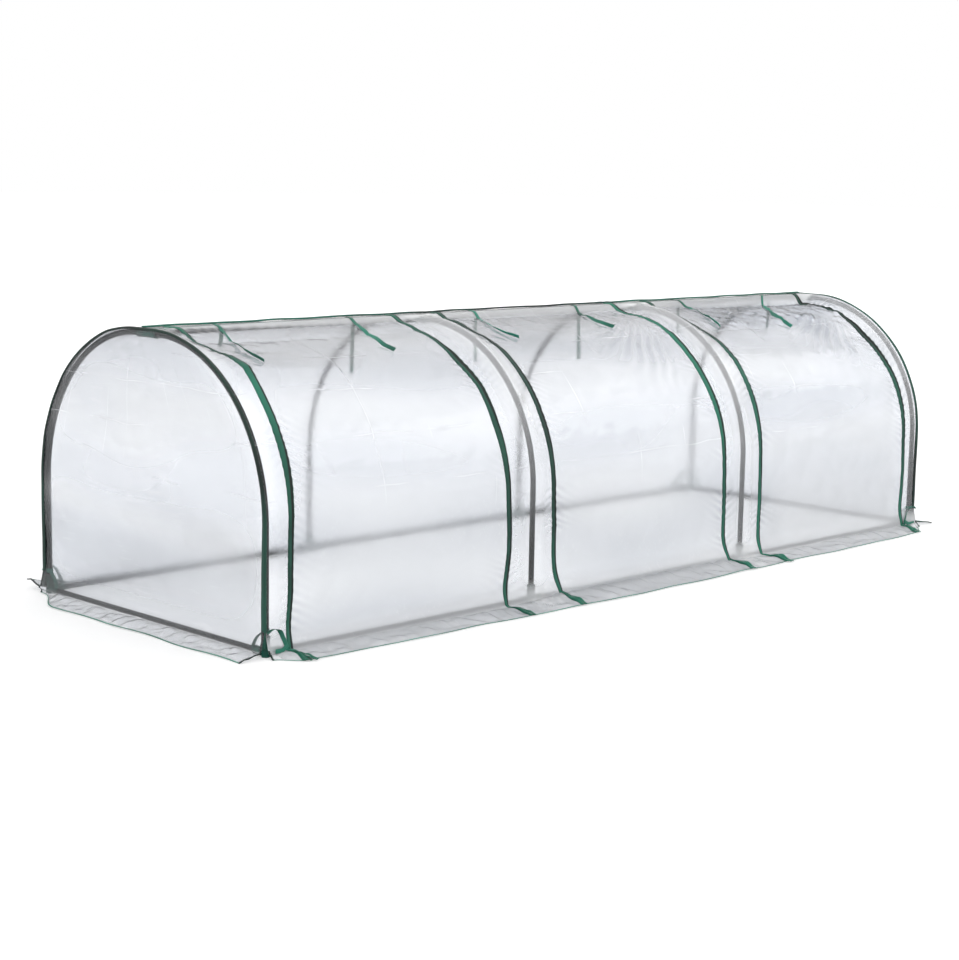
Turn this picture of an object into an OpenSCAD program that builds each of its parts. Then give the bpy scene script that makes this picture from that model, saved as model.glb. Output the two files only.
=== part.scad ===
// Low polytunnel greenhouse: a steel hoop frame in moulded connectors, under a clear film cover
// with a skirt on the ground and a row of zipped doors along the front.
// Millimetres. +X runs along the tunnel, -Y is the door side and +Z is up.
// The origin is on the ground, under the middle of the ridge.

/* [Frame] */
// Distance between neighbouring hoops, centre to centre
bay_len = 977; // [700:1:1200]
// Width of a hoop between its legs, centre to centre
hoop_w = 1000; // [800:1:1300]
// Height of the straight legs, from the base rails to the start of the bow
leg_h = 325; // [200:1:500]
// Outside diameter of the steel tube
tube_od = 16; // [13:0.5:20]
// Wall of the steel tube
tube_wall = 1; // [0.8:0.1:1.5]
// Length of the swaged end that joins a bow to its leg
spigot_len = 45; // [20:1:70]
// Straight end of a bow that shows outside its ridge socket
crown_show = 3; // [1:0.5:40]

/* [Connectors] */
// Wall of a moulded socket
socket_wall = 3; // [2:0.1:5]
// Reach of a socket from the middle of its connector
socket_len = 42; // [36:1:70]
// Length of the raised collar at the mouth of a socket
collar_len = 6; // [3:0.5:12]
// How far the collar stands out, on the radius
collar_h = 0.8; // [0.4:0.1:2]
// Reach of the webs between two sockets, from the middle of their connector
web_reach = 27; // [18:1:34]
// Thickness of the webs
web_t = 4; // [2:0.5:8]
// Play between a tube and its socket, on the radius
fit_gap = 0.15; // [0.1:0.05:0.3]

/* [Cover] */
// Thickness of the film
film_t = 1; // [0.8:0.1:2]
// Play between the film and what it lies on
film_gap = 0.3; // [0.2:0.1:0.6]
// Width of the skirt that lies on the ground
skirt_w = 85; // [60:1:180]
// Radius of the bend between the wall and the skirt
bend_r = 18; // [10:1:35]
// How far behind the ridge the top seam lies
seam_back = 24; // [18:1:36]

/* [Doors] */
// Fixed strip between an end hoop and the nearest door
end_strip_w = 70; // [50:1:160]
// Fixed strip over a middle hoop, between two doors
mid_strip_w = 185; // [120:1:300]
// How far the middle strips sit to the left of their hoops
strip_shift = 14; // [0:1:40]
// Gap in the film that a zip closes
zip_gap = 4; // [2:0.5:8]
// Width of the zip tape
zip_w = 20; // [12:0.5:30]
// Thickness of the zip tape with its binding
zip_t = 2; // [1:0.1:4]

/* [Bindings and ties] */
// Width of the bound seam along the ridge and round the end walls
bind_w = 14; // [8:0.5:24]
// Thickness of the binding
bind_t = 1.5; // [1:0.1:3]
// Width of the tie tapes
tie_w = 12; // [8:0.5:20]
// Thickness of the tie tapes
tie_t = 1; // [0.8:0.1:2]
// Length of a door tie over the film, measured along it
tie_len = 300; // [120:1:400]
// Length of a door tie that hangs inside
inner_tie_len = 160; // [80:1:260]
// How far the two ties of a door sit from its sides
tie_inset = 160; // [60:1:260]
// Height of the corner ties above their sockets
corner_tie_lift = 4; // [1:0.5:20]
// Outside diameter of a corner tie's loop
loop_d = 34; // [24:1:44]

/* [Hidden] */
$fn = 96;
bow_fn = 360; // sides of a whole circle of the cover
bays = 3;
sides = [-1, 1];
over = 1; // how far a cutter passes the face that it cuts

tube_r = tube_od / 2;
bore_r = tube_r - tube_wall;
socket_bore_r = tube_r + fit_gap;
socket_r = socket_bore_r + socket_wall;
collar_r = socket_r + collar_h;
tube_stop = socket_r; // where a tube ends inside a connector, from its middle
spigot_r = bore_r - fit_gap;
spigot_bore_r = spigot_r - tube_wall;
shoulder_h = 2 * tube_wall;

hoop_r = hoop_w / 2;
crown = socket_len + crown_show; // straight top of a bow, from the middle of the ridge
bow_r = hoop_r - crown;
rail_z = collar_r;
spring_z = rail_z + leg_h; // where the legs end and the bow starts
ridge_z = spring_z + bow_r;

cover_r = bow_r + collar_r + film_gap; // inside of the film round the bow
wall_y = crown + cover_r; // inside of the film at the walls
top_z = spring_z + cover_r; // inside of the film over the ridge
end_x = hoop_x(bays) + collar_r + film_gap; // inside of the end walls
bind_front = seam_back - bind_w / 2; // front edge of the ridge binding

green = "#14694f";
tube_colour = "#1b2a26";
connector_colour = "#1d4a3e";
film_colour = [0.90, 0.93, 0.95, 0.35];

function sides_of(radius) = radius > bow_r ? bow_fn : $fn;
function hoop_x(i) = (i - bays / 2) * bay_len;
function arc_angle(length, radius) = length / radius * 180 / PI;
function strip_right(i) = hoop_x(i) + (i == 0 ? end_strip_w : mid_strip_w / 2 - strip_shift);
function strip_left(i) = hoop_x(i) - (i == bays ? end_strip_w : mid_strip_w / 2 + strip_shift);
function door_left(i) = strip_right(i);
function door_right(i) = strip_left(i + 1);

// Turns a shape drawn along +Z so that it runs along +X
module along_x() { rotate([0, 90, 0]) children(); }

// Turns a shape drawn along +Z so that it runs along +Y
module along_y() { rotate([-90, 0, 0]) children(); }

// A straight tube along +Z
module tube(length) {
    difference() {
        cylinder(h = length, r = tube_r);
        translate([0, 0, -over]) cylinder(h = length + 2 * over, r = bore_r);
    }
}

// Carries a 2D section round the rear bow of a hoop, from the top of the leg to the straight crown
module round_bow() {
    translate([0, crown, spring_z]) rotate([90, 0, 90])
        rotate_extrude(angle = 90) translate([bow_r, 0]) children();
}

// The run of a rear bow at the given radius: the curve, and the straight crown up to the given distance
module bow_run(radius, from) {
    round_bow() circle(r = radius);
    translate([0, from, ridge_z]) along_y() cylinder(h = crown - from, r = radius);
}

// One side's bow: a quarter circle of tube with a straight top and a swaged end that drops into the leg
module rear_bow() {
    difference() {
        union() {
            bow_run(tube_r, tube_stop);
            translate([0, hoop_r, spring_z - spigot_len]) cylinder(h = spigot_len + shoulder_h, r = spigot_r);
        }
        difference() {
            bow_run(bore_r, tube_stop - over);
            translate([0, hoop_r, spring_z]) cylinder(h = 2 * shoulder_h, r = tube_od, center = true);
        }
        translate([0, hoop_r, spring_z - spigot_len - over])
            cylinder(h = spigot_len + 2 * shoulder_h + over, r = spigot_bore_r);
    }
}

module hoop_bows(i) {
    color(tube_colour) translate([hoop_x(i), 0, 0])
        for (s = sides) mirror([0, s < 0 ? 1 : 0, 0]) rear_bow();
}

module hoop_legs(i) {
    color(tube_colour) for (s = sides)
        translate([hoop_x(i), s * hoop_r, rail_z + tube_stop]) tube(leg_h - tube_stop);
}

// A tube along X across one bay, between the stops of its two connectors
module bay_tube(i, y, z) {
    color(tube_colour) translate([hoop_x(i) + tube_stop, y, z]) along_x() tube(bay_len - 2 * tube_stop);
}

module end_rail(i) {
    color(tube_colour) translate([hoop_x(i), tube_stop - hoop_r, rail_z]) along_y()
        tube(hoop_w - 2 * tube_stop);
}

// The outside of a socket along +Z, from the middle of its connector to the collar at its mouth
module socket_body() {
    cylinder(h = socket_len, r = socket_r);
    translate([0, 0, socket_len - collar_len]) cylinder(h = collar_len, r = collar_r);
}

// A three-cornered web in X and Z, in the angle between a socket along +X and one along +Z
module web() {
    rotate([90, 0, 0]) linear_extrude(height = web_t, center = true)
        polygon([[0, 0], [web_reach, 0], [0, web_reach]]);
}

// What is cut from a socket for its tube
module socket_bore() {
    translate([0, 0, tube_stop]) cylinder(h = socket_len - tube_stop + over, r = socket_bore_r);
}

// A base connector: a foot on the ground, a socket up for the leg, and sockets along the given directions
module base_connector(x_dirs, y_dirs) {
    color(connector_colour) difference() {
        union() {
            translate([0, 0, -rail_z]) cylinder(h = rail_z, r = socket_r);
            sphere(r = socket_r);
            socket_body();
            for (s = x_dirs) {
                rotate([0, s * 90, 0]) socket_body();
                rotate([0, 0, s < 0 ? 180 : 0]) web();
            }
            for (s = y_dirs) {
                rotate([-s * 90, 0, 0]) socket_body();
                rotate([0, 0, s * 90]) web();
            }
            for (sx = x_dirs, sy = y_dirs) mirror([sx < 0 ? 1 : 0, 0, 0]) rotate([-sy * 90, 0, 0]) web();
        }
        socket_bore();
        for (s = x_dirs) rotate([0, s * 90, 0]) socket_bore();
        for (s = y_dirs) rotate([-s * 90, 0, 0]) socket_bore();
    }
}

module corner(i, side) {
    inward = i == 0 ? 1 : -1;
    translate([hoop_x(i), side * hoop_r, rail_z]) base_connector([inward], [-side]);
}

module tee(i, side) {
    translate([hoop_x(i), side * hoop_r, rail_z]) base_connector(sides, []);
}

// A ridge connector: sockets for the bows on both sides, and along the ridge in the given directions
module ridge_connector(x_dirs) {
    color(connector_colour) translate([0, 0, ridge_z]) difference() {
        union() {
            sphere(r = socket_r);
            for (s = x_dirs) rotate([0, s * 90, 0]) socket_body();
            for (s = sides) rotate([s * 90, 0, 0]) socket_body();
            for (sx = x_dirs, sy = sides) mirror([sx < 0 ? 1 : 0, 0, 0]) rotate([-sy * 90, 0, 0]) web();
        }
        for (s = x_dirs) rotate([0, s * 90, 0]) socket_bore();
        for (s = sides) rotate([s * 90, 0, 0]) socket_bore();
    }
}

module ridge_cross(i) { translate([hoop_x(i), 0, 0]) ridge_connector(sides); }

module ridge_tee(s) { mirror([s < 0 ? 0 : 1, 0, 0]) translate([hoop_x(0), 0, 0]) ridge_connector([1]); }

// A ring between two radii, from one angle to another up to 120 degrees apart
module ring_sector(r1, r2, from, to) {
    reach = 3 * r2;
    middle = (from + to) / 2;
    intersection() {
        difference() {
            circle(r = r2, $fn = sides_of(r2));
            circle(r = r1, $fn = sides_of(r1));
        }
        polygon([[0, 0], for (a = [from, middle, to]) reach * [cos(a), sin(a)]]);
    }
}

// Section of a sheet on the cover, between two heights above the film's inside: over the crown from the
// given distance behind the ridge, round the bow, down the wall, round the bend and out along the ground
module cover_section(low, high, start) {
    translate([start, top_z + low]) square([crown - start, high - low]);
    translate([crown, spring_z]) ring_sector(cover_r + low, cover_r + high, 0, 90);
    translate([wall_y + low, bend_r]) square([high - low, spring_z - bend_r]);
    translate([wall_y + bend_r, bend_r]) ring_sector(bend_r - high, bend_r - low, 180, 270);
    translate([wall_y + bend_r, low]) square([skirt_w - bend_r, high - low]);
}

// Sweeps a section drawn in Y and Z along X, between two places, on the rear or the front side
module along_tunnel(x1, x2, side) {
    mirror([0, side < 0 ? 1 : 0, 0]) translate([x1, 0, 0]) rotate([90, 0, 90])
        linear_extrude(height = x2 - x1) children();
}

module rear_cover() {
    color(film_colour) along_tunnel(-end_x, end_x, 1) cover_section(0, film_t, seam_back);
}

// Film on the front, from the seam behind the ridge down to the skirt
module front_film(x1, x2) {
    color(film_colour) along_tunnel(x1, x2, -1) cover_section(0, film_t, -seam_back);
}

module door(i) { front_film(door_left(i) + zip_gap / 2, door_right(i) - zip_gap / 2); }

module front_strip(i) {
    left = i == 0 ? -end_x : door_right(i - 1) + zip_gap / 2;
    right = i == bays ? end_x : door_left(i) - zip_gap / 2;
    front_film(left, right);
}

// The outline of an end wall, grown outwards from the film's inside, down to the given height
module end_outline(grow, bottom) {
    radius = cover_r + grow;
    for (s = sides) translate([s * crown, spring_z]) intersection() {
        circle(r = radius, $fn = bow_fn);
        translate([s < 0 ? -radius : 0, 0]) square(radius);
    }
    translate([-crown, spring_z]) square([2 * crown, radius]);
    translate([-crown - radius, bottom]) square([2 * (crown + radius), spring_z - bottom]);
}

// Film across one end, cut to the outline of the tunnel, with its own skirt
module end_wall(s) {
    half = wall_y + film_t;
    color(film_colour) mirror([s < 0 ? 1 : 0, 0, 0]) {
        translate([end_x, 0, 0]) rotate([90, 0, 90])
            linear_extrude(height = film_t) end_outline(film_t, bend_r);
        translate([end_x + bend_r, half, bend_r]) rotate([90, 0, 0]) linear_extrude(height = 2 * half)
            ring_sector(bend_r - film_t, bend_r, 180, 270);
        translate([end_x + bend_r, -half, 0]) cube([skirt_w - bend_r, 2 * half, film_t]);
    }
}

// A band round the outline of an end wall, between two growths
module end_band(inner, outer) {
    difference() {
        end_outline(outer, bend_r);
        end_outline(inner, bend_r - over);
    }
}

// Bound seam round an end wall: a flat tape folded over the edge, part on the roof and part on the wall
module end_binding(s) {
    color(green) mirror([s < 0 ? 1 : 0, 0, 0]) {
        translate([end_x - bind_w, 0, 0]) rotate([90, 0, 90])
            linear_extrude(height = bind_w + film_t + bind_t) end_band(film_t, film_t + bind_t);
        translate([end_x + film_t, 0, 0]) rotate([90, 0, 90])
            linear_extrude(height = bind_t) end_band(film_t - bind_w, film_t + bind_t);
    }
}

// Flat binding over the seam along the ridge, between the two end bindings
module ridge_binding() {
    color(green) translate([bind_w - end_x, bind_front, top_z + film_t])
        cube([2 * (end_x - bind_w), bind_w, bind_t]);
}

// The zips down both sides of a door, from the ridge binding to the edge of the skirt
module door_zips(i) {
    color(green) for (x = [door_left(i), door_right(i)])
        along_tunnel(x - zip_w / 2, x + zip_w / 2, -1) cover_section(film_t, film_t + zip_t, -bind_front);
}

// A tie that holds a rolled door: one tape over the film and one hanging inside behind the ridge tube
module door_tie(x) {
    on_crown = crown + bind_front;
    round_a = arc_angle(tie_len - on_crown, cover_r);
    lie_r = cover_r + film_t; // outside of the film
    along_tunnel(x - tie_w / 2, x + tie_w / 2, -1) {
        translate([-bind_front, top_z + film_t]) square([on_crown, tie_t]);
        translate([crown, spring_z]) ring_sector(lie_r, lie_r + tie_t, 90 - round_a, 90);
    }
    translate([x - tie_w / 2, seam_back, top_z - film_gap - inner_tie_len])
        cube([tie_w, tie_t, inner_tie_len]);
}

module door_ties() {
    color(green) for (i = [0 : bays - 1]) for (x = [door_left(i) + tie_inset, door_right(i) - tie_inset])
        door_tie(x);
}

// A flat tape closed into a ring, lying round +Z
module tape_ring(outer_r) {
    difference() {
        cylinder(h = tie_w, r = outer_r);
        translate([0, 0, -over]) cylinder(h = tie_w + 2 * over, r = outer_r - tie_t);
    }
}

// A tie that holds the cover to a corner leg: a band round the tube and two upright loops along the walls
module corner_tie() {
    band_r = tube_r + film_gap + tie_t;
    loop_at = band_r + loop_d / 2 - tie_t;
    difference() {
        union() {
            tape_ring(band_r);
            for (a = [0, 90]) rotate([0, 0, a]) translate([loop_at, tie_w / 2, tie_w / 2])
                rotate([90, 0, 0]) tape_ring(loop_d / 2);
        }
        translate([0, 0, -over]) cylinder(h = tie_w + 2 * over, r = band_r - tie_t);
    }
}

module corner_ties() {
    color(green) for (i = [0, bays], side = sides)
        translate([hoop_x(i), side * hoop_r, rail_z + socket_len + corner_tie_lift])
            mirror([i > 0 ? 1 : 0, 0, 0]) mirror([0, side > 0 ? 1 : 0, 0]) corner_tie();
}

hoop_legs(0);  // hoop_1_legs
hoop_legs(1);  // hoop_2_legs
hoop_legs(2);  // hoop_3_legs
hoop_legs(3);  // hoop_4_legs
hoop_bows(0);  // hoop_1_bows
hoop_bows(1);  // hoop_2_bows
hoop_bows(2);  // hoop_3_bows
hoop_bows(3);  // hoop_4_bows
bay_tube(0, 0, ridge_z);  // ridge_tube_1
bay_tube(1, 0, ridge_z);  // ridge_tube_2
bay_tube(2, 0, ridge_z);  // ridge_tube_3
bay_tube(0, -hoop_r, rail_z);  // front_rail_1
bay_tube(1, -hoop_r, rail_z);  // front_rail_2
bay_tube(2, -hoop_r, rail_z);  // front_rail_3
bay_tube(0, hoop_r, rail_z);  // rear_rail_1
bay_tube(1, hoop_r, rail_z);  // rear_rail_2
bay_tube(2, hoop_r, rail_z);  // rear_rail_3
end_rail(0);  // left_end_rail
end_rail(bays);  // right_end_rail
corner(0, -1);  // front_left_corner
corner(bays, -1);  // front_right_corner
corner(0, 1);  // rear_left_corner
corner(bays, 1);  // rear_right_corner
tee(1, -1);  // front_left_tee
tee(2, -1);  // front_right_tee
tee(1, 1);  // rear_left_tee
tee(2, 1);  // rear_right_tee
ridge_tee(-1);  // ridge_tee_left
ridge_cross(1);  // ridge_cross_left
ridge_cross(2);  // ridge_cross_right
ridge_tee(1);  // ridge_tee_right
rear_cover();
end_wall(-1);  // left_end_wall
end_wall(1);  // right_end_wall
front_strip(0);  // front_strip_1
front_strip(1);  // front_strip_2
front_strip(2);  // front_strip_3
front_strip(bays);  // front_strip_4
door(0);  // door_1
door(1);  // door_2
door(2);  // door_3
door_zips(0);  // door_1_zips
door_zips(1);  // door_2_zips
door_zips(2);  // door_3_zips
ridge_binding();
end_binding(-1);  // left_end_binding
end_binding(1);  // right_end_binding
door_ties();
corner_ties();
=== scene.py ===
import functools
import math
import bmesh
import bpy
import numpy as np
from mathutils import Matrix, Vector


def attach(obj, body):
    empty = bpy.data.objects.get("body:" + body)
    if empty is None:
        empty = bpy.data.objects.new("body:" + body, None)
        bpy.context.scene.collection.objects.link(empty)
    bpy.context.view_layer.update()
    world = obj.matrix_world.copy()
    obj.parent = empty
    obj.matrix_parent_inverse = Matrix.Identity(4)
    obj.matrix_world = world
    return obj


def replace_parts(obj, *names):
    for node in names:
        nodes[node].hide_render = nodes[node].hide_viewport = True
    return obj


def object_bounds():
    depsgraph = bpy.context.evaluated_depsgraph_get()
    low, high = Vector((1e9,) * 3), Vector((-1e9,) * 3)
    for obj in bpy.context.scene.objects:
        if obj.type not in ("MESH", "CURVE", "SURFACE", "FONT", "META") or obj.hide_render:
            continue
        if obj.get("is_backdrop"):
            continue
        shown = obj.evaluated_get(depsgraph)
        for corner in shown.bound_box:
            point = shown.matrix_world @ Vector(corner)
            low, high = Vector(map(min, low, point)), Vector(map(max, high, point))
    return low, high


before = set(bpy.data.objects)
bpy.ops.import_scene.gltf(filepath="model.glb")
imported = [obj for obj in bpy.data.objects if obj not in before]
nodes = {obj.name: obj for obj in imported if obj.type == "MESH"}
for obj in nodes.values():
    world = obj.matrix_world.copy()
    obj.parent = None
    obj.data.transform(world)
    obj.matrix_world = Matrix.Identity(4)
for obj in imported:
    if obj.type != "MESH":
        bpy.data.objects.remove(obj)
cadLow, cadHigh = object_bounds()
tunnelMiddle = (cadLow + cadHigh) / 2
print("frame loaded:", len(nodes), "nodes")

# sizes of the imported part, in metres
tunnel = {
    "hoopX": (-1.4655, -0.4885, 0.4885, 1.4655),
    "bay": 0.977,         # from hoop to hoop
    "legY": 0.5,
    "tubeR": 0.008,
    "crown": 0.045,       # level top of the cover, from the ridge
    "coverR": 0.46725,    # inside of the film round the bow
    "springZ": 0.33695,
    "bendR": 0.018,
    "skirt": 0.085,
    "endX": 1.47775,      # inside of the end walls
    "filmT": 0.001,
    "seamBack": 0.024,
}
hoopX, endX, filmT = tunnel["hoopX"], tunnel["endX"], tunnel["filmT"]
wallOut = tunnel["crown"] + tunnel["coverR"]
topZ = tunnel["springZ"] + tunnel["coverR"]

# The heading of the film against the distance from the ridge: level over the crown, turning down
# through a quarter circle, straight down the wall, turning level again, then out along the ground.
# Summing the heading's cosine and sine gives how far out and how high the film is.
lineEnds = np.cumsum([tunnel["crown"], tunnel["coverR"] * math.pi / 2, tunnel["springZ"] - tunnel["bendR"],
                      tunnel["bendR"] * math.pi / 2, tunnel["skirt"] - tunnel["bendR"]])
wallEnd, bendEnd, skirtEnd = lineEnds[2:]
lineStep = 0.0005
lineS = np.arange(0, skirtEnd + 0.1, lineStep)
lineTurn = np.interp(lineS, [0, *lineEnds[:4]], [0, 0, math.pi / 2, math.pi / 2, 0])
lineMid = (lineTurn[1:] + lineTurn[:-1]) / 2
lineOut = np.concatenate([[0], np.cumsum(np.cos(lineMid)) * lineStep])
lineUp = topZ - np.concatenate([[0], np.cumsum(np.sin(lineMid)) * lineStep])


def coverLine(s):
    # how far out, how high, and the outward direction of the film at distance s; mirrored behind the ridge
    far, way = np.abs(s), np.sign(s)
    turn = np.interp(far, lineS, lineTurn)
    out, up = way * np.interp(far, lineS, lineOut), np.interp(far, lineS, lineUp)
    return out, up, way * np.sin(turn), np.cos(turn)


def smoothStep(low, high, value):
    t = np.clip((value - low) / (high - low), 0, 1)
    return t * t * (3 - 2 * t)


def sameShape(*values):
    return np.broadcast_arrays(*(np.asarray(value, float) for value in values))


def stacked(*values):
    # two or more coordinates as the places of a grid
    return np.stack(sameShape(*values), axis=-1)


def waves(seed, a, b, shortest, longest, count=7):
    # a seeded sum of plane waves over two coordinates in metres, about -1 to 1
    draw = np.random.default_rng(seed)
    total = np.zeros(np.broadcast(a, b).shape)
    for size, way, phase in zip(draw.uniform(shortest, longest, count), draw.uniform(0, math.pi, count),
                                draw.uniform(0, 2 * math.pi, count)):
        total = total + np.sin((a * math.cos(way) + b * math.sin(way)) * 2 * math.pi / size + phase)
    return total / math.sqrt(count)


def creases(seed, a, b, size):
    # smooth facets that meet in sharp folds: the absolute value of long waves
    return (np.abs(waves(seed, a, b, size, 2 * size)) + 0.6 * np.abs(waves(seed + 1, a, b, 0.5 * size, size))
            - 0.9)


def fromNearest(x, places):
    return np.min([np.abs(x - place) for place in places], axis=0)


# how the cover hangs on its hoops
front = {
    "zipX": (-1.3955, -0.595, -0.410, 0.382, 0.567, 1.3955),
    # how far each zip wanders along X above the ground, and at the edge of the skirt
    "heelDrift": (-0.010, -0.018, 0.004, -0.001, 0.0, -0.015),
    "tipDrift": (-0.015, -0.014, 0.013, 0.022, 0.026, -0.020),
    "footBell": (0.0, -0.004, 0.018, 0.012, -0.004, 0.006),  # how much further each zip swings out
    # how much wider the skirt lies on the ground, at places along the tunnel
    "spread": ((-1.46, 0), (-1.0, 0.016), (-0.76, 0.012), (-0.4, 0.031), (0.14, 0.028), (0.6, 0.020),
               (1.16, 0.016), (1.46, 0)),
    # how far each zip stands out from the plain line of the cover, at distances from the ridge
    "stand": (((0.04, 0), (0.12, -0.031), (0.22, -0.021), (0.34, 0.016), (0.45, 0.007), (0.65, 0.007),
               (0.9, 0)),
              ((0, -0.008), (0.12, -0.032), (0.34, -0.036), (0.45, -0.022), (0.57, -0.022),
               (0.75, -0.008), (0.9, 0)),
              ((0, -0.004), (0.05, -0.018), (0.17, -0.030), (0.31, -0.022), (0.57, -0.015),
               (0.75, -0.006), (0.9, 0)),
              ((0, -0.010), (0.08, -0.027), (0.22, -0.019), (0.39, -0.023), (0.50, -0.019),
               (0.65, -0.009), (0.9, 0)),
              ((0, -0.008), (0.08, -0.024), (0.17, -0.032), (0.27, -0.029), (0.36, -0.016),
               (0.45, -0.007), (0.9, 0)),
              ((0, -0.012), (0.04, -0.038), (0.22, -0.024), (0.36, -0.032), (0.45, -0.024),
               (0.57, -0.011), (0.9, 0))),
    "doorSag": 0.010,
    "pleat": 0.0015,      # puckers where the film is sewn to a zip
    "pleatPitch": 0.024,
    "fan": 0.0014,
    "fanAt": 0.12,        # distance of the fans from the ridge
    "fanFolds": 46,       # folds in a full turn
    "ridgePucker": 0.0018,
    "puckerPitch": 0.043,
    "roofCrumple": 0.0050,
    "crease": 0.0011,
    "bell": 0.014,        # the film swings outwards above the ground
    "crumple": 0.0045,    # the skirt on the ground
    "ragged": 0.004,      # how much the hem wanders
    "cornerCut": 0.55,    # share of its width that the skirt loses at the two ends
}
zipX = front["zipX"]
knotX = np.array(sorted([-endX, *hoopX, *zipX, endX]))


def hat(x, middle):
    # 1 at a knot, falling in a straight line to 0 at its neighbours
    return np.interp(x, knotX, (knotX == middle).astype(float))


def skirtLift(a, s, seed, amount):
    # over the bend and the ground: a soft bell, then crumples that only stand up from the ground
    bell = front["bell"] * np.exp(-((s - wallEnd - 0.012) / 0.046) ** 2)
    flat = smoothStep(bendEnd - 0.01, bendEnd + 0.02, s) * (1 - smoothStep(skirtEnd - 0.02, skirtEnd, s))
    hem = smoothStep(bendEnd, skirtEnd, s) * 0.0012 * (1 + waves(seed + 7, a, 0 * a, 0.12, 0.5))
    crumples = flat * amount * np.clip(creases(seed, a, s, 0.07) + 0.75, 0, 2.2)
    return bell + crumples + np.clip(hem, 0, None)


def raggedHem(a, s, seed, amount):
    # the skirt reaches a little further in some places than in others
    return amount * smoothStep(bendEnd, skirtEnd, s) * waves(seed, a, 0 * a, 0.15, 0.6)


def shortened(s, share):
    # draws the part of the film that is past the wall in by a share of its length
    return np.where(s > wallEnd, wallEnd + (s - wallEnd) * (1 - share), s)


def puckers(x, s):
    # short folds that run out from the sewn edge of each zip, in groups, from -1 to 1
    total = np.zeros(x.shape)
    for i, at in enumerate(zipX):
        away = np.abs(x - at)
        group = smoothStep(-0.3, 0.7, waves(40 + i, s, 0 * s, 0.11, 0.31, 4))
        turn = 2 * math.pi * (s + 0.5 * away * (1 if i % 2 else -1)) / front["pleatPitch"]
        fold = np.sin(turn + 1.7 * waves(50 + i, s, 0 * s, 0.06, 0.2, 4))
        total += group * fold * np.exp(-away / 0.03) * np.minimum(away / 0.012, 1)
    return total


def fans(x, s):
    # wrinkles that spread from the upper right corners of the second and third doors, from -1 to 1
    total = np.zeros(x.shape)
    for at in zipX[3::2]:
        along, down = np.maximum(at - x, 1e-6), s - front["fanAt"]
        turn = np.arctan2(down, along)
        fold = np.sin(front["fanFolds"] * turn + 1.1 * waves(65, x, s, 0.12, 0.4, 5))
        reach = np.exp(-((np.hypot(along, down) - 0.27) / 0.12) ** 2) * (x < at)
        total += fold * reach * smoothStep(0.2, 0.5, turn) * (1 - smoothStep(1.1, 1.4, turn))
    return total


def frontLift(x, s):
    # how far the front film stands out from its plain line: dips at the zips, sag across the doors,
    # puckers at sewn edges and folds all over
    x, s = sameShape(x, s)
    clear = smoothStep(0.006, 0.05, s)  # nothing drops onto the ridge tube
    onWall = 1 - smoothStep(wallEnd - 0.1, wallEnd, s)
    foot = np.exp(-((s - wallEnd) / 0.055) ** 2)
    lift = np.zeros(x.shape)
    for at, stand, bell in zip(zipX, front["stand"], front["footBell"]):
        lift += hat(x, at) * (clear * np.interp(s, *zip(*stand)) + foot * bell)
    for left, right in zip(zipX[0::2], zipX[1::2]):
        across = np.sin(math.pi * np.clip((x - left) / (right - left), 0, 1))
        lift -= front["doorSag"] * across * clear * onWall * np.exp(-((s - 0.36) / 0.3) ** 2)
    lift += (front["pleat"] * puckers(x, s) + front["fan"] * fans(x, s)) * onWall
    hang = np.sin(2 * math.pi * x / front["puckerPitch"] + 2.4 * waves(61, x, s, 0.12, 0.4, 5))
    nearRidge = np.exp(-np.clip(s - 0.05, 0, None) / 0.09) * smoothStep(0.02, 0.06, s)
    lift += front["ridgePucker"] * hang * nearRidge
    free = fromNearest(x, hoopX)
    lift += front["crease"] * smoothStep(0.01, 0.09, free) * creases(70, x, s, 0.16) * clear * onWall
    inRoof = smoothStep(0.03, 0.1, s) * (1 - smoothStep(0.2, 0.36, s)) * smoothStep(0.01, 0.06, free)
    mostRight = 0.25 + 0.75 * smoothStep(0.55, 0.75, x)
    lift += front["roofCrumple"] * inRoof * mostRight * creases(75, x, s, 0.06)
    return lift + skirtLift(x, s, 80, front["crumple"])


def frontPoint(x, s, h):
    # a place on the front film at x along the tunnel and s from the ridge, h above the film's inside
    x, s, h = sameShape(x, s, h)
    cut = front["cornerCut"] * (1 - smoothStep(0, 0.08, endX - np.abs(x)))
    out, up, sideways, upright = coverLine(shortened(s, cut))
    lift = frontLift(x, s) + h
    heel, tip = smoothStep(wallEnd - 0.16, wallEnd - 0.01, s), smoothStep(wallEnd - 0.06, skirtEnd, s)
    drift = sum(hat(x, at) * (heel * (1 - tip) * above + tip * below)
                for at, above, below in zip(zipX, front["heelDrift"], front["tipDrift"]))
    wider = smoothStep(bendEnd, skirtEnd, s) * np.interp(x, *zip(*front["spread"]))
    wider = wider + raggedHem(x, s, 90, front["ragged"])
    return stacked(x + drift, -(out + lift * sideways + wider), up + lift * upright)


rear = {"sag": 0.014, "crease": 0.0013, "crumple": 0.004, "curl": 0.020, "ragged": 0.006}


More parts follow.
